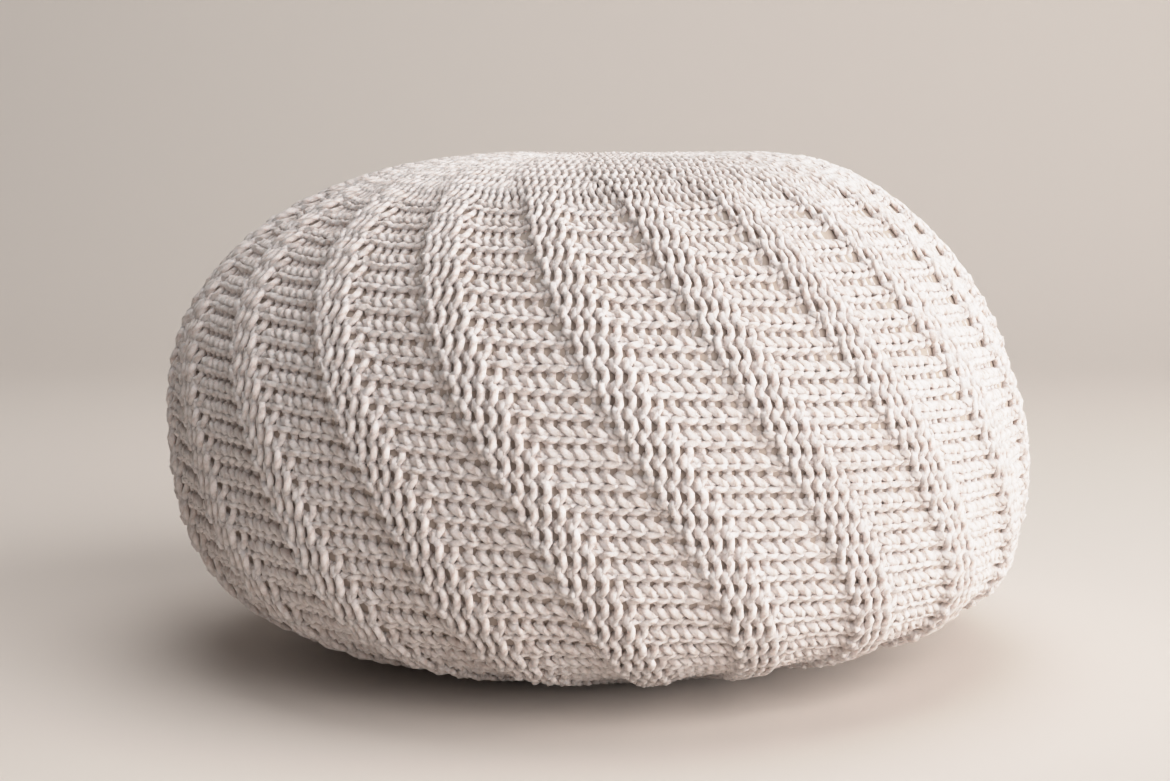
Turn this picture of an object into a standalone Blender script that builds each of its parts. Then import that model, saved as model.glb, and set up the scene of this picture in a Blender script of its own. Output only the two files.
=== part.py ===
"""Round knitted pouf, about 50 cm across and 29 cm tall.

One filled cushion.  Its knitted cover has twenty raised ribs that climb the
side on a slant, and plain rounds of knitting over the crown and the underside,
each drawn in to a small gather at the centre.  Everything is worked out from
the sizes below: a turned profile with soft unevenness, then the ribs.

Metres, +Z up.  The pouf stands on Z = 0, centred on the Z axis, and its front
faces -Y.
"""
import math

import bmesh
import bpy

# --- Overall form -----------------------------------------------------------
BELT_RADIUS = 0.250          # the widest place, the belt
CROWN_RISE = 0.174           # belt up to the crown
BASE_DROP = 0.124            # belt down to the underside, before it is pressed flat
BELT_HEIGHT = 0.1235         # belt above the floor, so the underside is pressed flat
CROWN_FULLNESS = 2.52        # 2 is an ellipse, more is squarer at the shoulder
BASE_FULLNESS = 3.46
BASE_FULLNESS_RIGHT = -0.10  # change of that on the right, opposite on the left
BELT_TILT = -0.012           # the belt sits lower on the right, higher on the left

# Slow swells of the skin, as shares of its distance from the centre of the belt.
# Each row: waves in a full turn, cosine and sine size all round, and what is
# added to each of them on the right side and taken off on the left.
SWELLS = (
    {"waves": 4, "cosine": -0.004, "sine": 0.015, "cosine_right": -0.012, "sine_right": 0.0},
    {"waves": 6, "cosine": 0.018, "sine": -0.008, "cosine_right": 0.007, "sine_right": -0.005},
)

# --- Gathers at the two centres ---------------------------------------------
GATHER_RADIUS = 0.026
GATHER_DEPTH = 0.011

# --- Ribs -------------------------------------------------------------------
RIB_COUNT = 20
RIB_ANGLE = 2 * math.pi / RIB_COUNT
STITCHES_PER_RIB = 11        # four in the raised rib, seven in the ground beside it
STITCH_ANGLE = RIB_ANGLE / STITCHES_PER_RIB
RIB_START = math.radians(-9.6)   # a rib's middle halfway up the skin, from the front
FRONT_CLOSENESS = 0.02       # ribs stand this much closer together at the front
GROUND_SINK = 0.0042         # how far the ground lies below the top of the ribs
CROWN_SINK = 0.0012          # the same over the crown, where all is purl
RIB_ZONE = (0.300, 0.765)    # where the ribs run, as shares of the way from floor to crown
RIB_FADE = 0.030             # share of the way over which the relief changes at its ends

# Rows of knitting on the way up the skin: closest at the belt.
ROWS_PER_SKIN = 46.2
ROWS_ADDED_AT_BELT = 16.0
BELT_SHARE = 0.505
BELT_SPREAD = 0.125

# One rib and its ground in section: stitches from the rib's middle, and the
# share of the full relief that is reached there.
RIB_SECTION = (
    {"stitches": -4.1, "relief": 0.00},
    {"stitches": -2.5, "relief": 0.08},
    {"stitches": -1.7, "relief": 0.95},
    {"stitches": -0.1, "relief": 1.00},
    {"stitches": 1.5, "relief": 0.90},
    {"stitches": 2.9, "relief": 0.35},
    {"stitches": 4.6, "relief": 0.00},
)

# --- Fineness of the model --------------------------------------------------
CONTACT_SHARE = 0.155        # where the skin leaves the floor
PRESSED_RINGS = 3            # rings on the flat underside
SIDE_RINGS = 24              # rings up the side to the edge of the crown's gather
GATHER_SHARES = (0.940, 0.957, 0.972, 0.986)
PROFILE_STEPS = 600
SLOPE_STEP = 1e-3


def signed_power(value, power):
    return math.copysign(abs(value) ** power, value)


def smooth_step(low, high, value):
    share = min(1.0, max(0.0, (value - low) / (high - low)))
    return share * share * (3 - 2 * share)


def swollen_point(longitude, climb):
    """Point of the skin; climb runs from -90 degrees below to +90 above."""
    right = math.sin(longitude)
    above = climb > 0
    fullness = CROWN_FULLNESS if above else BASE_FULLNESS + BASE_FULLNESS_RIGHT * right
    reach = CROWN_RISE if above else BASE_DROP
    radius = BELT_RADIUS * abs(math.cos(climb)) ** (2 / fullness)
    height = reach * signed_power(math.sin(climb), 2 / fullness)
    angle = math.atan2(height, radius)
    swell = 1.0
    for row in SWELLS:
        swell += (row["cosine"] + row["cosine_right"] * right) * math.cos(row["waves"] * angle)
        swell += (row["sine"] + row["sine_right"] * right) * math.sin(row["waves"] * angle)
    radius *= swell
    height *= swell
    height += BELT_TILT * right * radius / BELT_RADIUS * (1 - (height / reach) ** 2)
    return radius * math.sin(longitude), -radius * math.cos(longitude), height + BELT_HEIGHT


def climb_table():
    """Arc length up the front of the skin, as pairs of share and climb."""
    climbs = [math.pi * (step / PROFILE_STEPS - 0.5) for step in range(PROFILE_STEPS + 1)]
    points = [swollen_point(0.0, climb) for climb in climbs]
    lengths = [0.0]
    for below, above in zip(points, points[1:]):
        lengths.append(lengths[-1] + math.dist(below, above))
    return [(length / lengths[-1], climb) for length, climb in zip(lengths, climbs)]


CLIMBS = climb_table()


def climb_at(share):
    for (low_share, low), (high_share, high) in zip(CLIMBS, CLIMBS[1:]):
        if share <= high_share:
            return low + (high - low) * (share - low_share) / (high_share - low_share)
    return CLIMBS[-1][1]


def rows_up_to(share):
    """Rows of knitting between halfway up the skin and this share of the way."""
    bell = BELT_SPREAD * math.sqrt(math.pi) / 2
    rise = math.erf((share - BELT_SHARE) / BELT_SPREAD) - math.erf((0.5 - BELT_SHARE) / BELT_SPREAD)
    return ROWS_PER_SKIN * (share - 0.5) + ROWS_ADDED_AT_BELT * bell * rise


def rib_longitude(rib, stitches, share):
    """Longitude of a line along a rib, which moves one stitch over for each row."""
    drift = rows_up_to(share)
    low, high = RIB_ZONE
    if share > high:
        drift = rows_up_to(high)
    if share < low:
        drift = rows_up_to(low)
    even = RIB_START + rib * RIB_ANGLE + (stitches - drift) * STITCH_ANGLE
    return even - FRONT_CLOSENESS * math.sin(even)


def ground_depth(share):
    """Depth of the ground below the ribs at this share of the way up."""
    low, high = RIB_ZONE
    if share > 0.5:
        side = 1 - smooth_step(high - RIB_FADE, high + RIB_FADE, share)
        crown = 1 - smooth_step(high, GATHER_SHARES[0], share)
        return CROWN_SINK * crown + (GROUND_SINK - CROWN_SINK) * side
    return GROUND_SINK * smooth_step(CONTACT_SHARE, low + RIB_FADE, share)


def skin_point(longitude, share, sink):
    """Point of the finished skin, sunk below the rib tops along its normal."""
    place = swollen_point(longitude, climb_at(share))
    if share <= CONTACT_SHARE:
        return place[0], place[1], 0.0
    east = swollen_point(longitude + SLOPE_STEP, climb_at(share))
    west = swollen_point(longitude - SLOPE_STEP, climb_at(share))
    up = swollen_point(longitude, climb_at(min(1.0, share + SLOPE_STEP)))
    down = swollen_point(longitude, climb_at(share - SLOPE_STEP))
    across = [a - b for a, b in zip(east, west)]
    along = [a - b for a, b in zip(up, down)]
    normal = (
        across[1] * along[2] - across[2] * along[1],
        across[2] * along[0] - across[0] * along[2],
        across[0] * along[1] - across[1] * along[0],
    )
    size = math.hypot(*normal)
    x, y, z = (value - sink * part / size for value, part in zip(place, normal))
    z -= GATHER_DEPTH * math.exp(-((x * x + y * y) / GATHER_RADIUS ** 2)) * (share > 0.5)
    return x, y, max(0.0, z)


def ring_shares():
    """Shares of the way up for the rings of vertices, floor to crown."""
    pressed = [CONTACT_SHARE * (ring + 1) / PRESSED_RINGS for ring in range(PRESSED_RINGS)]
    step = (GATHER_SHARES[0] - CONTACT_SHARE) / SIDE_RINGS
    side = [CONTACT_SHARE + step * (ring + 1) for ring in range(SIDE_RINGS)]
    return pressed + side + list(GATHER_SHARES[1:])


def knitted_material(name, colour):
    material = bpy.data.materials.new(name)
    material.use_nodes = True
    shader = material.node_tree.nodes["Principled BSDF"]
    shader.inputs["Base Color"].default_value = colour
    shader.inputs["Roughness"].default_value = 0.95
    shader.inputs["Metallic"].default_value = 0.0
    return material


def build_pouf(collection):
    """A sphere's rings and meridians are moved onto the skin and its ribs."""
    shares = ring_shares()
    columns = RIB_COUNT * len(RIB_SECTION)
    shape = bmesh.new()
    bmesh.ops.create_uvsphere(shape, u_segments=columns, v_segments=len(shares) + 1, radius=1.0)
    polar_step = math.pi / (len(shares) + 1)
    turn_step = 2 * math.pi / columns
    for vertex in shape.verts:
        polar = math.acos(max(-1.0, min(1.0, -vertex.co.z)))
        ring = round(polar / polar_step) - 1
        if ring < 0:
            vertex.co = (0.0, 0.0, 0.0)
            continue
        if ring >= len(shares):
            vertex.co = skin_point(0.0, 1.0, 0.0)
            continue
        column = round(math.atan2(vertex.co.y, vertex.co.x) / turn_step) % columns
        rib, place = divmod(column, len(RIB_SECTION))
        section = RIB_SECTION[place]
        longitude = rib_longitude(rib, section["stitches"], shares[ring])
        sink = ground_depth(shares[ring]) * (1 - section["relief"])
        vertex.co = skin_point(longitude, shares[ring], sink)
    mesh = bpy.data.meshes.new("knitted_pouf")
    shape.to_mesh(mesh)
    shape.free()
    mesh.shade_smooth()
    pouf = bpy.data.objects.new("knitted_pouf", mesh)
    mesh.materials.append(knitted_material("ivory_yarn", (0.80, 0.75, 0.69, 1.0)))
    collection.objects.link(pouf)
    return pouf


def main():
    for old in list(bpy.data.objects):
        bpy.data.objects.remove(old, do_unlink=True)
    collection = bpy.data.collections.new("knitted_pouf")
    bpy.context.scene.collection.children.link(collection)
    build_pouf(collection)


main()
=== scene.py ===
import math

import bpy
import numpy as np
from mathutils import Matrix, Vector


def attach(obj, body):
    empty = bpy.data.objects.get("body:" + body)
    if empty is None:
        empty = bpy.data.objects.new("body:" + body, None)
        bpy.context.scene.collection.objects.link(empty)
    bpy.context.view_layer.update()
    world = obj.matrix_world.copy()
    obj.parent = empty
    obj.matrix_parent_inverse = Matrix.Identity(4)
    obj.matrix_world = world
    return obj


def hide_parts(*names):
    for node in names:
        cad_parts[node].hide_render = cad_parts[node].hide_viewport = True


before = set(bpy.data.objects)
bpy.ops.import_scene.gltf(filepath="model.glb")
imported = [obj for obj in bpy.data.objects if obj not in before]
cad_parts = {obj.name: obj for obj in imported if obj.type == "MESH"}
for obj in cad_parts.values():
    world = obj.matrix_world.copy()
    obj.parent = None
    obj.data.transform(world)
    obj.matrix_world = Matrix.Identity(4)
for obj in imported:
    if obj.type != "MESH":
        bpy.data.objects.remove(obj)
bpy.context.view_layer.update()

# A round knitted pouf, about 50 cm across and 29 cm tall.  Its cover is knitted
# sideways: 220 courses of yarn climb from the middle of the underside to the
# middle of the crown, each looped through the course beside it.  A place on the
# cover is told by its course, counted round the pouf, and its row, counted up.
#
# Metres, +Z up.  The pouf stands on Z = 0, centred on the Z axis, and its front
# faces -Y.

# ---------------------------------------------------------------------------
# The skin: the same turned profile and ribs as the solid
# ---------------------------------------------------------------------------
BELT_RADIUS = 0.250          # the widest place, the belt
CROWN_RISE = 0.174           # belt up to the crown
BASE_DROP = 0.124            # belt down to the underside, before it is pressed flat
BELT_HEIGHT = 0.1235         # belt above the floor
CROWN_FULLNESS = 2.52        # 2 is an ellipse, more is squarer at the shoulder
BASE_FULLNESS = 3.46
BASE_FULLNESS_RIGHT = -0.10  # change of that on the right, opposite on the left
BELT_TILT = -0.012           # the belt sits lower on the right, higher on the left

# Slow swells of the skin, as shares of its distance from the centre of the belt.
SWELLS = (
    {"waves": 4, "cosine": -0.004, "sine": 0.015, "cosine_right": -0.012, "sine_right": 0.0},
    {"waves": 6, "cosine": 0.018, "sine": -0.008, "cosine_right": 0.007, "sine_right": -0.005},
)
GATHER_RADIUS = 0.026
GATHER_DEPTH = 0.011
SKIN_POINTS = 2001           # along the profile, to measure the way up the skin
SKIN_STEP = 1e-3             # turn, and share of the way, over which its slope is taken

# Ribs.  Heights are shares of the way up the skin, from the middle of the
# underside to the middle of the crown.
RIB_COUNT = 20
STITCHES_PER_RIB = 11
COURSES = RIB_COUNT * STITCHES_PER_RIB
STITCH_ANGLE = 2 * math.pi / COURSES
RIB_START = math.radians(-9.6)   # a rib's middle halfway up the skin, from the front
FRONT_CLOSENESS = 0.02       # courses stand this much closer together at the front
RIB_HALF = 2.0               # stitches on each side of a rib's middle that stand up
RIB_TOP = 0.765              # the ribs end
RIB_FADE = 0.030             # way over which their relief goes
CROWN_FADE_END = 0.94        # the crown's own relief is gone
CONTACT_SHARE = 0.155        # the skin leaves the floor
BASE_FADE = 0.235            # the ribs have their full relief from here up
GROUND_SINK = 0.0042         # how far the ground lies below the top of the ribs
CROWN_SINK = 0.0012          # the same over the crown, where all is purl

# One rib and its ground in section: stitches from the rib's middle, and the
# share of the full relief that is reached there.
RIB_SECTION_STITCHES = (-5.5, -4.1, -2.5, -1.7, -0.1, 1.5, 2.9, 4.6, 5.5)
RIB_SECTION_RELIEF = (0.0, 0.0, 0.08, 0.95, 1.0, 0.90, 0.35, 0.0, 0.0)

# The ground is drawn towards the left foot of each rib: where that is and how
# wide it works, in stitches, and by how many stitches.
GAP_OFFSET, GAP_REACH, GAP_PULL = -2.75, 1.0, 0.42

# Rows to the whole skin, as they are spaced at each share of the way up.
CLOSENESS_SHARES = (0, 0.25, 0.30, 0.36, 0.40, 0.44, 0.50, 0.55, 0.60, 0.65, 0.72, 0.76, 0.80, 1)
ROW_CLOSENESS = (50, 44, 40, 40.5, 47, 55.5, 60, 56.5, 51, 45, 38, 40, 46, 50)

# ---------------------------------------------------------------------------
# Loops, settled as flat cloth before they are laid on the skin: millimetres
# ---------------------------------------------------------------------------
FLAT_COURSE, FLAT_ROW = 7.14, 11.2   # from one course, and one row, to the next
PRESSED_RADIUS = 1.4         # of the yarn where two strands press on each other
NECK_SHARE = 0.4             # how much of that the neck of a single loop keeps
LOOP_LENGTH = 32.0           # yarn in one stitch

# First shape of a loop, as shares of a course or a row.
LOOP_REACH = 0.70
LOOP_PINCH = 0.095
LOOP_SPREAD = 0.17

# The loops settle: each strand is drawn tight and pushed off the ones it touches.
RELAX_POINTS = 24            # along one stitch
RELAX_STEPS = 700
SWELL_STEPS = 0.6            # share of the steps over which the yarn swells and takes its length
START_GIRTH = 0.6            # share of its girth at the first step
START_TENSION = 0.25
TIGHTEN_FROM, TIGHTEN_SPEED = 0.3, 2
BEND_STIFFNESS = 0.05
ROW_HOLD = 0.02              # keeps each stitch near its own row
DAMPING, STEP_SIZE = 0.80, 0.35
FASTEST_MOVE = 0.10          # in one step, as a share of the pressed radius
PAIR_STEPS = 10              # steps between two searches for strands that touch
PAIR_REACH = 1.4             # how far they look, as a share of the yarn's girth
OWN_SKIP = 0.3               # strand on either side that a point doesn't press on, in stitches
PAIR_COURSES = 4             # courses whose strands may press on one another

# What is done to the settled loops, as shares of a course or a row, or millimetres.
LOOP_SQUEEZE, LOOP_LEAN, LOOP_STAND = 0.92, 0.065, 1.2
ROW_PINCH = 0.18
ROW_SKEW = 0.05
HEAD_TUCK = 0.7
ARC_SWING = 0.15
ROPE_TILT, SINKER_STAND = 0.25, 0.15
BAR_LIFT = 1.1
BAR_SLIM, LEG_SKEW, ARC_SWELL = -0.02, 0.10, -0.06   # changes of the yarn's girth

# ---------------------------------------------------------------------------
# Yarn, and its courses over the pouf
# ---------------------------------------------------------------------------
YARN_RADIUS = 0.0024
YARN_STEPS, YARN_SIDES = 12, 5   # rings along one stitch, and points in a ring
YARN_EVENNESS = 0.8          # how little the rings crowd where the yarn turns sharply
PLIES, PLY_TURNS_PER_METRE = 2, 170
CROWD_SHRINK, CROWD_LEAST = 0.75, 0.35   # smaller loops where courses crowd together

FIRST_BODY_ROW, LAST_BODY_ROW = -13, 12   # between them every course runs, and the ribs

# Courses end in pairs on the way to both centres: the row, and the courses left.
CROWN_LEVELS = ((14, 180), (16, 140), (18, 100), (20, 80), (21, 60), (22, 40), (23, 20))
BASE_LEVELS = ((-15, 180), (-17, 140), (-19, 100), (-21, 80), (-22, 60), (-23, 40), (-24, 20))
CLOSING_ROWS = 0.9           # over so many rows on either side the others close up
END_RUN = 0.45               # an ended course runs on, leans on its mate and sinks
END_LEAN, END_SINK = 0.42, 0.0008
TUCK_ROWS = 0.9              # rows over which it does so
PURL_CHANGE = (0.3, 0.7)     # rows past the ribbed part over which it turns to purl

HIDDEN_ROW = -15             # below this the floor hides the yarn: fewer rings
HIDDEN_SKIP = 3
SECTORS = 6                  # pieces that the cover is cut into

# Unevenness of handwork.
SWING_JITTER, ROW_JITTER, LEVEL_JITTER, GIRTH_JITTER = 0.03, 0.015, 0.0002, 0.03
WOBBLE_WAVES = 6
WOBBLE_TURNS, WOBBLE_CLIMB, WOBBLE_START = (2, 9), (0.1, 0.5), (0, 6.28)
WOBBLE_ROWS = 0.12           # rows by which the slow waves move the stitches

# ---------------------------------------------------------------------------
# The filled body inside the cover
# ---------------------------------------------------------------------------
CUSHION_COLUMNS, CUSHION_RINGS = 220, 70
CUSHION_GAP = 0.0012         # below the lowest strand's middle
CUSHION_FLOOR = 0.003        # above the floor
CUSHION_DIMPLE = 0.002       # its middle point on the crown lies lower
CROWN_FILL = 0.0019          # it stands this much higher over the crown
CROWN_FILL_WAY = (-0.01, 0.06)   # from the ribs' ends, as shares of the way up
RIB_SIDE, RIB_SIDE_FILL = 0.9, 0.4   # stitches beside a rib, and the share of its relief there

rng = np.random.default_rng(7)


def signed_power(value, power):
    return np.sign(value) * np.abs(value) ** power


def swollen_point(longitude, climb):
    """Point on the swollen, tilted profile; climb is a quarter turn at the crown."""
    right = np.sin(longitude)
    above = climb > 0
    fullness = np.where(above, CROWN_FULLNESS, BASE_FULLNESS + BASE_FULLNESS_RIGHT * right)
    reach = np.where(above, CROWN_RISE, BASE_DROP)
    radius = BELT_RADIUS * np.abs(np.cos(climb)) ** (2 / fullness)
    height = reach * signed_power(np.sin(climb), 2 / fullness)
    angle = np.arctan2(height, radius)
    swell = np.ones_like(angle)
    for row in SWELLS:
        swell += (row["cosine"] + row["cosine_right"] * right) * np.cos(row["waves"] * angle)
        swell += (row["sine"] + row["sine_right"] * right) * np.sin(row["waves"] * angle)
    radius = radius * swell
    height = height * swell
    height = height + BELT_TILT * right * radius / BELT_RADIUS * (1 - (height / reach) ** 2)
    return np.stack((radius * np.sin(longitude), -radius * np.cos(longitude), height + BELT_HEIGHT), -1)


def share_table():
    """Shares of the way up the skin, and the climb that reaches each."""
    climbs = np.pi * (np.linspace(0, 1, SKIN_POINTS) - 0.5)
    points = swollen_point(np.zeros_like(climbs), climbs)
    lengths = np.concatenate(([0.0], np.cumsum(np.linalg.norm(np.diff(points, axis=0), axis=1))))
    return lengths / lengths[-1], climbs


def row_table():
    """Shares of the way up the skin, and the row at each; row 0 is halfway up."""
    shares = np.linspace(-0.05, 1.05, 1101)
    rows = np.cumsum(np.interp(shares, CLOSENESS_SHARES, ROW_CLOSENESS)) * (shares[1] - shares[0])
    return shares, rows - np.interp(0.5, shares, rows)


SHARES, CLIMBS = share_table()
ROW_SHARES, ROWS = row_table()


def smooth_step(low, high, value):
    share = np.clip((value - low) / (high - low), 0, 1)
    return share * share * (3 - 2 * share)


def plain_skin(longitude, share):
    return swollen_point(longitude, np.interp(share, SHARES, CLIMBS))


def skin_frame(longitude, share):
    """Point, and unit normal, on the skin at the top of the ribs."""
    place = plain_skin(longitude, share)
    across = plain_skin(longitude + SKIN_STEP, share) - plain_skin(longitude - SKIN_STEP, share)
    above = plain_skin(longitude, np.minimum(share + SKIN_STEP, 1))
    below = plain_skin(longitude, np.maximum(share - SKIN_STEP, 0))
    normal = np.cross(across, above - below)
    normal /= np.linalg.norm(normal, axis=-1, keepdims=True)
    from_axis = place[..., 0] ** 2 + place[..., 1] ** 2
    place[..., 2] -= (share > 0.5) * GATHER_DEPTH * np.exp(-from_axis / GATHER_RADIUS ** 2)
    return place, normal


def ground_depth(share):
    """How far the ground between the ribs lies below the skin."""
    side = 1 - smooth_step(RIB_TOP - RIB_FADE, RIB_TOP + RIB_FADE, share)
    crown = 1 - smooth_step(RIB_TOP, CROWN_FADE_END, share)
    upper = CROWN_SINK * crown + (GROUND_SINK - CROWN_SINK) * side
    lower = GROUND_SINK * smooth_step(CONTACT_SHARE, BASE_FADE, share)
    return np.where(share > 0.5, upper, lower)


def rib_offset(stitch, row):
    """Stitches to the right of the nearest rib's middle."""
    return (stitch + 0.5 + row + STITCHES_PER_RIB / 2) % STITCHES_PER_RIB - STITCHES_PER_RIB / 2


def rib_relief(stitch, row):
    """Share of the rib's relief at a stitch, a course number that may be a fraction."""
    return np.interp(rib_offset(stitch, row), RIB_SECTION_STITCHES, RIB_SECTION_RELIEF)


def rib_pull(stitch, row):
    """Stitches by which the ground is drawn towards the left foot of a rib."""
    apart = rib_offset(stitch, row) - GAP_OFFSET
    return GAP_PULL * np.exp(-(apart / GAP_REACH) ** 2)


# ---------------------------------------------------------------------------
# Courses: where each runs, and where it ends
# ---------------------------------------------------------------------------
def thin_out(levels, boundary_row):
    """The levels with every course's angle in them, each course's last row, and its mate's side.

    A course that goes on keeps a mate's side of 0 and the last level's row.
    """
    first = (-boundary_row) % STITCHES_PER_RIB
    order = [(first + k) % COURSES for k in range(COURSES)]
    angle0 = first * STITCH_ANGLE
    steps = []
    last_row = np.full(COURSES, levels[-1][0])
    mate_side = np.zeros(COURSES)
    for start_row, count in levels:
        pairs = (len(order) - count) // 2
        group = len(order) // pairs
        middle = group // 2 - (0 if group % 2 else 1)
        kept = []
        for rank, course in enumerate(order):
            place = rank % group
            if place in (middle, middle + 1):
                last_row[course] = start_row - (1 if boundary_row > 0 else -1)
                mate_side[course] = 1 if place == middle else -1
            else:
                kept.append(course)
        order = kept
        angles = np.full(COURSES, np.nan)
        for rank, course in enumerate(order):
            angles[course] = angle0 + rank * 2 * math.pi / count
        steps.append((start_row, count, angles))
    return steps, last_row, mate_side


CROWN_STEPS, CROWN_END, CROWN_MATE = thin_out(CROWN_LEVELS, LAST_BODY_ROW + 1)
BASE_STEPS, BASE_END, BASE_MATE = thin_out(BASE_LEVELS, FIRST_BODY_ROW - 1)


def course_angle(course, rows):
    """Longitude of one course and the pitch between courses, at each row."""
    angle = np.full(rows.shape, course * STITCH_ANGLE)
    pitch = np.full(rows.shape, STITCH_ANGLE)
    for steps, up in ((CROWN_STEPS, 1), (BASE_STEPS, -1)):
        for start_row, count, angles in steps:
            if np.isnan(angles[course]):
                break
            new = angles[course]
            new = new + 2 * math.pi * round((course * STITCH_ANGLE - new) / (2 * math.pi))
            edge = start_row - 0.5 * up
            blend = smooth_step(-CLOSING_ROWS, CLOSING_ROWS, (rows - edge) * up)
            angle = angle + (new - angle) * blend
            pitch = pitch + (2 * math.pi / count - pitch) * blend
    return angle, pitch


def pitch_of_row(row):
    """Angle between neighbouring courses at a row."""
    pitch = np.full(row.shape, STITCH_ANGLE)
    for steps, up in ((CROWN_STEPS, 1), (BASE_STEPS, -1)):
        for start_row, count, _ in steps:
            blend = smooth_step(-CLOSING_ROWS, CLOSING_ROWS, (row - start_row) * up + 0.5)
            pitch = pitch + (2 * math.pi / count - pitch) * blend
    return pitch


def strand_scale(pitch, reach):
    """The loops get smaller where the courses crowd together."""
    room = np.clip(pitch * reach / (STITCH_ANGLE * BELT_RADIUS), CROWD_LEAST, 1.0)
    return 1 - CROWD_SHRINK + CROWD_SHRINK * room


WOBBLE = [
    (rng.uniform(*WOBBLE_TURNS), rng.uniform(*WOBBLE_CLIMB), rng.uniform(*WOBBLE_START))
    for _ in range(WOBBLE_WAVES)
]


def row_wobble(angle, row):
    """Slow waves that run through the rows, between -1 and 1."""
    total = np.zeros_like(angle)
    for turns, climb, start in WOBBLE:
        total += np.sin(round(turns) * angle + climb * row + start)
    return total / len(WOBBLE)


# ---------------------------------------------------------------------------
# Loops: x across the courses, y along them, z out of the cloth
# ---------------------------------------------------------------------------
def crossed_loops(faces):
    """A course before it settles: points, turn within each loop, and how purl each point is.

    Each face is 1 for a knit stitch and -1 for a purl one.
    """
    count = len(faces)
    spot = np.arange(count * RELAX_POINTS) / RELAX_POINTS
    row = np.floor(spot + 0.5).astype(int)
    turn = 2 * math.pi * (spot - row)
    head = np.cos(turn)
    own = faces[row % count]
    following = faces[(row - 1) % count]
    beside = np.where(turn > 0, faces[(row + 1) % count], faces[(row - 1) % count])
    upper = 0.5 + 0.5 * np.tanh(3 * head)
    inner = 0.5 + 0.5 * np.tanh(4 * (math.pi - np.abs(turn)))
    leg = own * (1 - upper) + following * upper
    sinker = own * inner + beside * (1 - inner)
    out = leg * np.sin(turn) ** 2 - following * np.maximum(head, 0) ** 2 - sinker * np.minimum(head, 0) ** 2
    purl = (1 - own * (1 - upper) - following * upper) / 2
    across = -LOOP_REACH * head * FLAT_COURSE
    along = (spot - LOOP_PINCH * np.sin(turn) + LOOP_SPREAD * np.sin(2 * turn)) * FLAT_ROW
    return np.stack((across, along, PRESSED_RADIUS * out), -1), turn, purl


def near_pairs(points, period, shift):
    """Pairs of points that may come to touch: first, second, offset between them, share of the girth."""
    firsts, seconds, offsets, shares = [], [], [], []
    index = np.arange(len(points))
    reach = (2 * PRESSED_RADIUS * PAIR_REACH) ** 2
    for course in range(PAIR_COURSES):
        for wrap in (-1, 0, 1):
            offset = course * shift + wrap * period
            apart = points[None] + offset - points[:, None]
            near = (apart ** 2).sum(-1) < reach
            if course == 0:
                near &= index[None] + wrap * len(points) - index[:, None] > OWN_SKIP * RELAX_POINTS
            first, second = np.nonzero(near)
            firsts.append(first)
            seconds.append(second)
            offsets.append(np.repeat(offset[None], len(first), 0))
            shares.append(np.full(len(first), NECK_SHARE if course == 0 else 1.0))
    return [np.concatenate(found) for found in (firsts, seconds, offsets, shares)]


def relaxed(points, period, shift, flat_row):
    """One yarn tightened against its own neighbours; each course is the same yarn moved over."""
    total = len(points)
    window = np.zeros(total)
    window[: RELAX_POINTS // 2] = 1
    window[-(RELAX_POINTS // 2):] = 1
    blur = np.abs(np.fft.rfft(window / window.sum()))[:, None] ** 2
    speed = np.zeros_like(points)
    start_length = None
    for step in range(RELAX_STEPS):
        grown = min(1, step / (SWELL_STEPS * RELAX_STEPS))
        touch = 2 * PRESSED_RADIUS * (START_GIRTH + (1 - START_GIRTH) * grown)
        after = np.roll(points, -1, 0)
        after[-1] += period
        before = np.roll(points, 1, 0)
        before[0] -= period
        edge = after - points
        length = np.linalg.norm(edge, axis=1, keepdims=True)
        if start_length is None:
            start_length = length.mean()
        rest = start_length + (LOOP_LENGTH / RELAX_POINTS - start_length) * grown
        bend = after + before - 2 * points
        force = -BEND_STIFFNESS * (np.roll(bend, -1, 0) + np.roll(bend, 1, 0) - 2 * bend)
        tightened = min(1, max(0, step / RELAX_STEPS - TIGHTEN_FROM) * TIGHTEN_SPEED)
        tension = START_TENSION + (1 - START_TENSION) * tightened
        pull = tension * (length - rest) * edge / length
        force += pull - np.roll(pull, 1, 0)
        drift = points.copy()
        drift[:, 1] -= flat_row
        force -= ROW_HOLD * np.fft.irfft(np.fft.rfft(drift, axis=0) * blur, total, axis=0)
        if step % PAIR_STEPS == 0:
            first, second, offset, share = near_pairs(points, period, shift)
        apart = points[second] + offset - points[first]
        gap = np.linalg.norm(apart, axis=1)
        push = np.maximum(touch * share / gap - 1, 0)[:, None] * apart
        np.add.at(force, first, -push)
        np.add.at(force, second, push)
        speed = DAMPING * speed + STEP_SIZE * force
        fast = np.linalg.norm(speed, axis=1, keepdims=True)
        points = points + speed * np.minimum(1, FASTEST_MOVE * PRESSED_RADIUS / np.maximum(fast, 1e-12))
    return points


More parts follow.
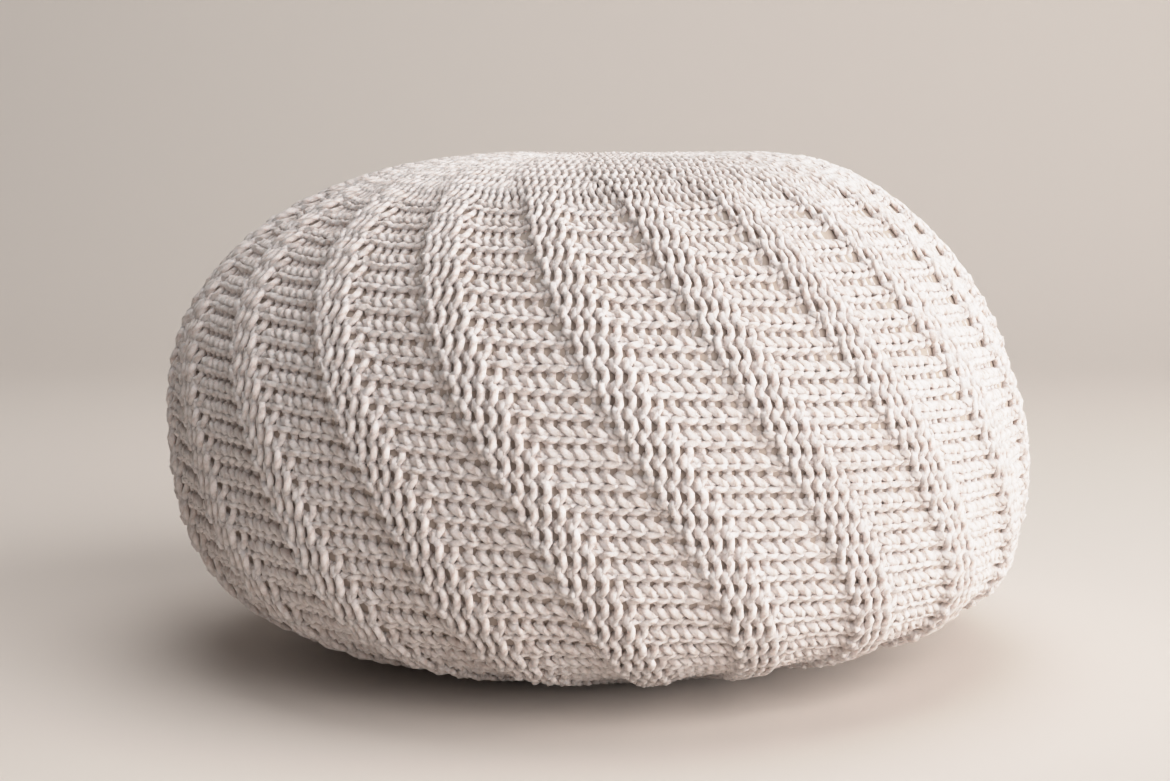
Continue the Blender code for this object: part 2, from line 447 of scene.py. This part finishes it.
def settle(faces):
    """Settled loops: courses across, rows along from the flat place, metres out, and girth."""
    faces = np.asarray(faces, float)
    points, turn, purl = crossed_loops(faces)
    period = np.array([0, len(faces) * FLAT_ROW, 0])
    shift = np.array([FLAT_COURSE, -FLAT_ROW, 0])
    flat_row = np.arange(len(points)) / RELAX_POINTS * FLAT_ROW
    points = relaxed(points, period, shift, flat_row)
    phase = 2 * math.pi * points[:, 1] / FLAT_ROW
    bar = np.maximum(-np.cos(turn), 0) ** 2
    points[:, 1] -= ROW_PINCH * FLAT_ROW * np.sin(phase) / (2 * math.pi)
    points[:, 1] += ROW_SKEW * FLAT_ROW * (1 - np.cos(phase)) / 2
    points[:, 1] -= flat_row + LOOP_LEAN * points[:, 0]
    points[:, 0] = points[:, 0] * LOOP_SQUEEZE - purl * ARC_SWING * FLAT_COURSE * np.cos(phase)
    points[:, 0] += purl * HEAD_TUCK * np.maximum(np.cos(turn), 0)
    twist = ROPE_TILT * np.sin(2 * turn) + SINKER_STAND * np.cos(turn)
    points[:, 2] = points[:, 2] * LOOP_STAND - purl * twist
    points[:, 2] += (1 - purl) * BAR_LIFT * bar
    girth = 1 + ARC_SWELL * purl * bar - (1 - purl) * (BAR_SLIM * bar - LEG_SKEW * np.sin(turn))
    return np.concatenate((points / LOOP_UNITS, girth[:, None]), 1)


LOOP_UNITS = np.array((FLAT_COURSE, FLAT_ROW, 1000))
RIBBED = settle(np.where(np.abs(rib_offset(np.arange(STITCHES_PER_RIB), 0)) < RIB_HALF, -1, 1))
PLAIN = settle([-1])
LIFT_TOP = RIBBED[:, 2].max()


def stitch_spots():
    """Places along one stitch, closer together where the yarn turns sharply."""
    loops = RIBBED[:, :3] * LOOP_UNITS
    loops[:, 1] += np.arange(len(loops)) / RELAX_POINTS * FLAT_ROW
    bend = np.linalg.norm(loops[2:] - 2 * loops[1:-1] + loops[:-2], axis=1)
    bend = np.concatenate((bend[:1], bend, bend[-1:])).reshape(-1, RELAX_POINTS)[1:-1].mean(0)
    weight = np.sqrt(bend) + YARN_EVENNESS * np.sqrt(bend).mean()
    passed = np.concatenate(([0.0], np.cumsum(weight)))
    steps = (np.arange(YARN_STEPS) + 0.5) / YARN_STEPS * passed[-1]
    return np.interp(steps, passed, np.arange(RELAX_POINTS + 1) / RELAX_POINTS)


STITCH_SPOTS = stitch_spots()


def settled_at(table, spot):
    """Place in the settled loops at a row number; the table repeats."""
    total = len(table)
    where = spot * RELAX_POINTS
    low = np.floor(where).astype(int)
    part = (where - low)[:, None]
    return table[low % total] * (1 - part) + table[(low + 1) % total] * part


def purl_share(spot):
    """0 on the ribbed part, 1 on the plain purl of the crown and the underside."""
    near, far = PURL_CHANGE
    crown = smooth_step(LAST_BODY_ROW + near, LAST_BODY_ROW + far, spot)
    return crown + (1 - smooth_step(FIRST_BODY_ROW - far, FIRST_BODY_ROW - near, spot))


def course_path(course):
    """Centre line of one course's yarn: points, surface normals, radii."""
    bottom, top = int(BASE_END[course]), int(CROWN_END[course])
    rows = np.arange(bottom - 1, top + 2)
    spot = (rows[:, None] + STITCH_SPOTS - 0.5).ravel()
    kept = (spot > HIDDEN_ROW) | (np.arange(len(spot)) % HIDDEN_SKIP == 0)
    kept &= spot < top + 0.5 + END_RUN * abs(CROWN_MATE[course])
    kept &= spot > bottom - 0.5 - END_RUN * abs(BASE_MATE[course])
    spot = spot[kept]
    near_row = np.repeat(np.arange(len(rows)), YARN_STEPS)[kept]
    swing_jitter, row_jitter, level_jitter, girth_jitter = rng.normal(size=(4, len(rows)))[:, near_row]

    ribbed = settled_at(RIBBED, spot + course)
    plain = settled_at(PLAIN, spot)
    change = purl_share(spot)
    loop = ribbed + (plain - ribbed) * change[:, None]
    swing = loop[:, 0] * (1 + SWING_JITTER * swing_jitter)
    row = spot + loop[:, 1] + ROW_JITTER * row_jitter

    angle, pitch = course_angle(course, row)
    closing = smooth_step(top, top + TUCK_ROWS, spot) * CROWN_MATE[course]
    closing = closing + smooth_step(-bottom, TUCK_ROWS - bottom, -spot) * BASE_MATE[course]
    pull = rib_pull(course + swing, row) * (1 - change)
    angle = angle + (swing + pull + END_LEAN * closing) * pitch
    even = RIB_START + angle + 0.5 * STITCH_ANGLE
    longitude = even - FRONT_CLOSENESS * np.sin(even)
    row_on_skin = row + WOBBLE_ROWS * row_wobble(longitude, row)
    share = np.clip(np.interp(row_on_skin, ROWS, ROW_SHARES), 0.0, 1.0)

    place, normal = skin_frame(longitude, share)
    slim = strand_scale(pitch, np.hypot(place[:, 0], place[:, 1]))
    radius = YARN_RADIUS * slim * loop[:, 3] * (1 + GIRTH_JITTER * girth_jitter)
    sink = ground_depth(share) * (1 - rib_relief(course + swing, row))
    sink += END_SINK * np.abs(closing)
    level = (loop[:, 2] - LIFT_TOP) * slim + LEVEL_JITTER * level_jitter - YARN_RADIUS * slim - sink
    points = place + normal * level[:, None]
    points[:, 2] = np.maximum(points[:, 2], radius)
    return points, normal, radius


# ---------------------------------------------------------------------------
# Meshes and materials
# ---------------------------------------------------------------------------
def tube(points, normals, radii, sides):
    """A closed tube round a line: vertices, quads, their UVs (round, metres along), and two caps."""
    tangent = np.gradient(points, axis=0)
    tangent /= np.linalg.norm(tangent, axis=1, keepdims=True)
    side = np.cross(tangent, normals)
    for k in range(1, len(side)):
        carried = side[k - 1] - (side[k - 1] @ tangent[k]) * tangent[k]
        side[k] = carried / math.sqrt(carried @ carried)
    side[0] /= np.linalg.norm(side[0])
    top = np.cross(side, tangent)
    phi = 2 * math.pi * np.arange(sides) / sides
    ring = side[:, None, :] * np.cos(phi)[None, :, None] + top[:, None, :] * np.sin(phi)[None, :, None]
    vertices = points[:, None, :] + ring * radii[:, None, None]
    count = len(points)
    i, j = np.meshgrid(np.arange(count - 1), np.arange(sides), indexing="ij")
    a = i * sides + j
    b = i * sides + (j + 1) % sides
    quads = np.stack((a, b, b + sides, a + sides), -1).reshape(-1, 4)
    length = np.concatenate(([0.0], np.cumsum(np.linalg.norm(np.diff(points, axis=0), axis=1))))
    u = np.stack((j / sides, (j + 1) / sides, (j + 1) / sides, j / sides), -1)
    v = np.stack((length[i], length[i], length[i + 1], length[i + 1]), -1)
    uv = np.stack((u, v), -1).reshape(-1, 2)
    caps = np.stack((np.arange(sides)[::-1], np.arange(sides) + (count - 1) * sides))
    return vertices.reshape(-1, 3), quads, uv, caps


def in_scene(name, data):
    """A new object, linked to the scene."""
    made = bpy.data.objects.new(name, data)
    bpy.context.scene.collection.objects.link(made)
    return made


def mesh_of_tubes(name, tubes, sides):
    vertices, quads, uvs, caps = [], [], [], []
    base = 0
    for tube_vertices, tube_quads, tube_uvs, tube_caps in tubes:
        vertices.append(tube_vertices)
        quads.append(tube_quads + base)
        caps.append(tube_caps + base)
        uvs.append(tube_uvs)
        base += len(tube_vertices)
    vertices, quads, uvs, caps = (np.concatenate(part) for part in (vertices, quads, uvs, caps))
    mesh = bpy.data.meshes.new(name)
    mesh.vertices.add(len(vertices))
    mesh.vertices.foreach_set("co", vertices.astype(np.float32).ravel())
    corners = np.concatenate((quads.ravel(), caps.ravel()))
    sizes = np.concatenate((np.full(len(quads), 4), np.full(len(caps), sides)))
    starts = np.concatenate(([0], np.cumsum(sizes)[:-1]))
    mesh.loops.add(len(corners))
    mesh.loops.foreach_set("vertex_index", corners.astype(np.int32))
    mesh.polygons.add(len(sizes))
    mesh.polygons.foreach_set("loop_start", starts.astype(np.int32))
    mesh.update(calc_edges=True)
    layer = mesh.uv_layers.new(name="yarn")
    flat = np.zeros((len(corners), 2), np.float32)
    flat[: len(uvs)] = uvs
    layer.data.foreach_set("uv", flat.ravel())
    mesh.validate()
    mesh.shade_smooth()
    return mesh


def new_material(name, roughness, specular):
    material = bpy.data.materials.new(name)
    material.use_nodes = True
    shader = material.node_tree.nodes["Principled BSDF"]
    shader.inputs["Roughness"].default_value = roughness
    shader.inputs["Specular IOR Level"].default_value = specular
    return material, shader


def noise(material, scale, detail):
    """A fine pattern that fills the object's space."""
    nodes, links = material.node_tree.nodes, material.node_tree.links
    texture = nodes.new("ShaderNodeTexNoise")
    texture.inputs["Scale"].default_value = scale
    texture.inputs["Detail"].default_value = detail
    links.new(nodes.new("ShaderNodeTexCoord").outputs["Object"], texture.inputs["Vector"])
    return texture.outputs["Fac"]


def colour_between(material, shader, tone, dark, light):
    """Base colour from dark to light with the tone; each end is a place on the tone and a colour."""
    nodes, links = material.node_tree.nodes, material.node_tree.links
    ramp = nodes.new("ShaderNodeValToRGB")
    for element, (position, colour) in zip(ramp.color_ramp.elements, (dark, light)):
        element.position = position
        element.color = (*colour, 1)
    links.new(tone, ramp.inputs["Fac"])
    links.new(ramp.outputs["Color"], shader.inputs["Base Color"])


def yarn_material():
    """Soft two-ply cotton: twisted plies with painted shade in the grooves between them, fine fibres, and a
    slow drift of colour over the cloth.
    """
    material, shader = new_material("ivory_yarn_strands", roughness=0.92, specular=0.25)
    nodes, links = material.node_tree.nodes, material.node_tree.links
    shader.inputs["Subsurface Weight"].default_value = 0.3
    shader.inputs["Subsurface Radius"].default_value = (1.0, 0.8, 0.7)
    shader.inputs["Subsurface Scale"].default_value = 0.004
    shader.inputs["Sheen Weight"].default_value = 0.35
    shader.inputs["Sheen Roughness"].default_value = 0.5
    shader.inputs["Sheen Tint"].default_value = (1.0, 0.96, 0.92, 1)

    def math_node(kind, *values):
        node = nodes.new("ShaderNodeMath")
        node.operation = kind
        for socket, value in zip(node.inputs, values):
            if isinstance(value, (int, float)):
                socket.default_value = value
            else:
                links.new(value, socket)
        return node.outputs[0]

    along = nodes.new("ShaderNodeUVMap")
    along.uv_map = "yarn"
    split = nodes.new("ShaderNodeSeparateXYZ")
    links.new(along.outputs["UV"], split.inputs["Vector"])
    round_yarn = math_node("MULTIPLY", split.outputs["X"], PLIES)
    twist = math_node("MULTIPLY_ADD", split.outputs["Y"], PLY_TURNS_PER_METRE, round_yarn)
    ply = math_node("ABSOLUTE", math_node("SINE", math_node("MULTIPLY", twist, math.pi)))
    fibre = noise(material, 900, 3)
    fuzz = noise(material, 260, 2)
    drift = noise(material, 9, 2)
    stitch = noise(material, 70, 1)

    # The ply pattern darkens the colour in the grooves between the plies: painted shade. The same pattern
    # also drives the bump below.
    tone = math_node("MULTIPLY_ADD", ply, 0.45, -0.72)
    for pattern, weight in ((fibre, 0.90), (fuzz, 0.50), (stitch, 0.45), (drift, 0.45)):
        tone = math_node("MULTIPLY_ADD", pattern, weight, tone)
    dark, light = (0.25, (0.605, 0.505, 0.461)), (0.95, (0.88, 0.792, 0.76))
    colour_between(material, shader, tone, dark, light)

    height = math_node("MULTIPLY_ADD", fibre, 0.8, math_node("MULTIPLY_ADD", fuzz, 0.5, ply))
    bump = nodes.new("ShaderNodeBump")
    bump.inputs["Strength"].default_value = 0.7
    bump.inputs["Distance"].default_value = 0.0006
    links.new(height, bump.inputs["Height"])
    links.new(bump.outputs["Normal"], shader.inputs["Normal"])
    return material


def cushion_material():
    """Plain cloth coloured darker than the yarn: painted shade for the holes between the stitches."""
    material, shader = new_material("inner_cloth_painted_shade", roughness=1.0, specular=0.1)
    # Both ends are painted shade: darker than the yarn, so that the holes between the stitches look shaded.
    dark, light = (0.0, (0.44, 0.365, 0.315)), (1.0, (0.60, 0.51, 0.45))
    colour_between(material, shader, noise(material, 400, 3), dark, light)
    return material


# ---------------------------------------------------------------------------
# Pieces
# ---------------------------------------------------------------------------
def knitted_cover():
    """The yarn of the whole cover, cut into sectors from course to course."""
    material = yarn_material()
    pieces = []
    edges = np.linspace(0, COURSES, SECTORS + 1).round().astype(int)
    for sector in range(SECTORS):
        name = f"knitted_cover_{sector + 1}"
        courses = range(edges[sector], edges[sector + 1])
        tubes = [tube(*course_path(course), YARN_SIDES) for course in courses]
        mesh = mesh_of_tubes(name, tubes, YARN_SIDES)
        mesh.materials.append(material)
        pieces.append(in_scene(name, mesh))
    return pieces


def cushion_points():
    """Points just below the yarn, ring by ring from the underside to the crown."""
    turns = np.linspace(0, 2 * math.pi, CUSHION_COLUMNS, endpoint=False)
    climbs = np.linspace(0, 1, CUSHION_RINGS + 2)[1:-1]
    longitude, share = np.meshgrid(turns, climbs)
    place, normal = skin_frame(longitude, share)
    even = longitude + FRONT_CLOSENESS * np.sin(longitude)
    stitch = (even - RIB_START) / STITCH_ANGLE - 0.5
    row = np.interp(share, ROW_SHARES, ROWS)
    beside = np.maximum(rib_relief(stitch + RIB_SIDE, row), rib_relief(stitch - RIB_SIDE, row))
    relief = np.maximum(rib_relief(stitch, row), RIB_SIDE_FILL * beside)
    sink = ground_depth(share) * (1 - relief)
    slim = strand_scale(pitch_of_row(row), np.hypot(place[..., 0], place[..., 1]))
    fill = CROWN_FILL * smooth_step(RIB_TOP + CROWN_FILL_WAY[0], RIB_TOP + CROWN_FILL_WAY[1], share)
    level = (fill - LIFT_TOP - YARN_RADIUS - CUSHION_GAP) * slim - sink
    points = place + normal * level[..., None]
    points[..., 2] = np.maximum(points[..., 2], CUSHION_FLOOR)
    return points


def inner_cushion():
    """The filled body, which shows only through the holes between the stitches; its darker colour is
    painted shade.
    """
    points = cushion_points()
    bottom = np.array([[0, 0, CUSHION_FLOOR]])
    top = np.array([[0, 0, points[-1, :, 2].mean() - CUSHION_DIMPLE]])
    vertices = np.concatenate((bottom, points.reshape(-1, 3), top))
    last_ring, crown = 1 + (CUSHION_RINGS - 1) * CUSHION_COLUMNS, len(vertices) - 1
    beside = [(k, (k + 1) % CUSHION_COLUMNS) for k in range(CUSHION_COLUMNS)]
    faces = [(0, 1 + after, 1 + k) for k, after in beside]
    for first in range(1, last_ring, CUSHION_COLUMNS):
        upper = first + CUSHION_COLUMNS
        faces += [(first + k, first + after, upper + after, upper + k) for k, after in beside]
    faces += [(last_ring + k, last_ring + after, crown) for k, after in beside]
    mesh = bpy.data.meshes.new("inner_cushion")
    mesh.from_pydata(vertices.tolist(), [], faces)
    mesh.shade_smooth()
    mesh.materials.append(cushion_material())
    return in_scene("inner_cushion", mesh)


# ---------------------------------------------------------------------------
# Camera, floor and light
# ---------------------------------------------------------------------------
CAMERA_DISTANCE = 1.364
CAMERA_ELEVATION = math.radians(8)
FOCAL_PIXELS = 2290.4
SENSOR_WIDTH = 36
PHOTO_WIDTH, PHOTO_HEIGHT = 1170, 781
BELT_PIXEL = (600.8, 438.5)  # where the middle of the belt lies in the frame

FLOOR_FRONT, FLOOR_BACK, FLOOR_HALF = -9.0, 1.5, 9.0
SWEEP_RADIUS, SWEEP_STEPS = 1.6, 12
WALL_TOP = 4.0

WORLD_STRENGTH = 0.02
HIGHLIGHT_REACH, HIGHLIGHT_TOP = 1.6, 0.985
HIGHLIGHT_SHOULDER = ((0.2, 0.2), (0.4, 0.4), (0.55, 0.545), (0.75, 0.72), (1.0, 0.86), (1.3, 0.94))


def make_camera():
    data = bpy.data.cameras.new("camera")
    data.sensor_width = SENSOR_WIDTH
    data.lens = FOCAL_PIXELS * SENSOR_WIDTH / PHOTO_WIDTH
    camera = in_scene("camera", data)
    back, up = -math.cos(CAMERA_ELEVATION), math.sin(CAMERA_ELEVATION)
    camera.location = Vector((0, 0, BELT_HEIGHT)) + Vector((0, back, up)) * CAMERA_DISTANCE
    pan = math.atan((BELT_PIXEL[0] - PHOTO_WIDTH / 2) / FOCAL_PIXELS)
    tilt = math.atan((BELT_PIXEL[1] - PHOTO_HEIGHT / 2) / FOCAL_PIXELS)
    camera.rotation_euler = (math.pi / 2 - CAMERA_ELEVATION + tilt, 0, pan)
    bpy.context.scene.camera = camera


def make_backdrop():
    """Pale floor that sweeps up into the wall behind."""
    rise = [(FLOOR_FRONT, 0.0), (FLOOR_BACK, 0.0)]
    for step in range(1, SWEEP_STEPS + 1):
        angle = math.pi / 2 * step / SWEEP_STEPS
        rise.append((FLOOR_BACK + SWEEP_RADIUS * math.sin(angle), SWEEP_RADIUS * (1 - math.cos(angle))))
    rise.append((FLOOR_BACK + SWEEP_RADIUS, WALL_TOP))
    vertices = [(x, y, z) for y, z in rise for x in (-FLOOR_HALF, FLOOR_HALF)]
    faces = [(2 * k, 2 * k + 1, 2 * k + 3, 2 * k + 2) for k in range(len(rise) - 1)]
    mesh = bpy.data.meshes.new("backdrop")
    mesh.from_pydata(vertices, [], faces)
    mesh.shade_smooth()
    material, shader = new_material("backdrop_paper", roughness=0.75, specular=0.2)
    shader.inputs["Base Color"].default_value = (0.75, 0.683, 0.629, 1)
    mesh.materials.append(material)
    backdrop = in_scene("backdrop", mesh)


def area_light(name, place, aim, size, power):
    data = bpy.data.lights.new(name, "AREA")
    data.shape = "RECTANGLE"
    data.size, data.size_y = size
    data.energy = power
    light = in_scene(name, data)
    light.location = place
    light.rotation_euler = (Vector(aim) - Vector(place)).to_track_quat("-Z", "Y").to_euler()


def faint_world():
    world = bpy.context.scene.world or bpy.data.worlds.new("world")
    bpy.context.scene.world = world
    world.use_nodes = True
    background = world.node_tree.nodes["Background"]
    background.inputs["Color"].default_value = (1.0, 1.0, 1.0, 1)
    background.inputs["Strength"].default_value = WORLD_STRENGTH


def soften_highlights():
    """A shoulder for the brightest tones, as a soft exposure has."""
    view = bpy.context.scene.view_settings
    view.view_transform = "Standard"
    view.use_curve_mapping = True
    mapping = view.curve_mapping
    mapping.white_level = (HIGHLIGHT_REACH,) * 3
    curve = mapping.curves[3]
    curve.points[-1].location = (1, HIGHLIGHT_TOP)
    for brightness, shown in HIGHLIGHT_SHOULDER:
        curve.points.new(brightness / HIGHLIGHT_REACH, shown)
    mapping.update()


make_camera()
make_backdrop()
area_light("key", place=(4.0, -1.87, 0.98), aim=(0, 0, 0.12), size=(4.4, 2.0), power=115)
area_light("side", place=(2.62, -0.37, 1.53), aim=(0, 0, 0.12), size=(1.5, 1.0), power=20)
area_light("front_right", place=(2.6, -3.35, 2.5), aim=(0, 0, 0.12), size=(4.6, 3.6), power=172)
area_light("top", place=(0.1, 0.15, 2.4), aim=(0, 0.05, 0), size=(1.8, 1.8), power=28)
area_light("left_fill", place=(-2.5, 0.8, 1.6), aim=(0, 0, 0.2), size=(2.4, 2.0), power=3)
faint_world()
soften_highlights()

cover = knitted_cover()
inside = inner_cushion()
for piece in cover + [inside]:
    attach(piece, "root")
    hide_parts("knitted_pouf")
